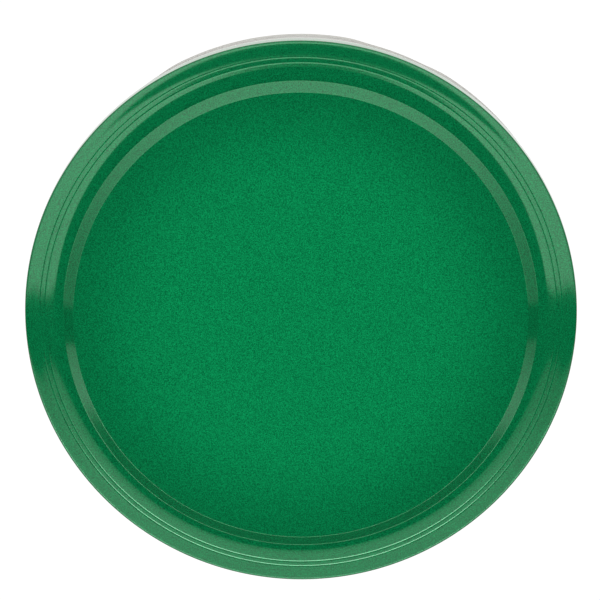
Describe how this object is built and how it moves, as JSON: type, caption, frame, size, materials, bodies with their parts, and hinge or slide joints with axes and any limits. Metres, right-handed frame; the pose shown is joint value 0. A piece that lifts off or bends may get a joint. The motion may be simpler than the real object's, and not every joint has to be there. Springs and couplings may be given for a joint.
{
  "type": "twist-off lid",
  "caption": "Round deep pressed-steel twist-off jar lid with a raised panel, a channel, a sloping creased rim, a rolled curl, inward lugs and a flowed-in sealing ring.",
  "frame": {"origin": "centre of the ring on which the curl stands, on the ground", "axes": "+Z is the lid's axis, from the open mouth up through the panel; a lug is centred 12 degrees from +X towards +Y"},
  "size_m": [0.0846, 0.0846, 0.014],
  "materials": {
    "lacquered_tinplate": "satin",
    "sealing_compound": "matt"
  },
  "bodies": {
    "root": {"lid_shell": "lacquered_tinplate", "sealing_ring": "sealing_compound"}
  },
  "joints": []
}
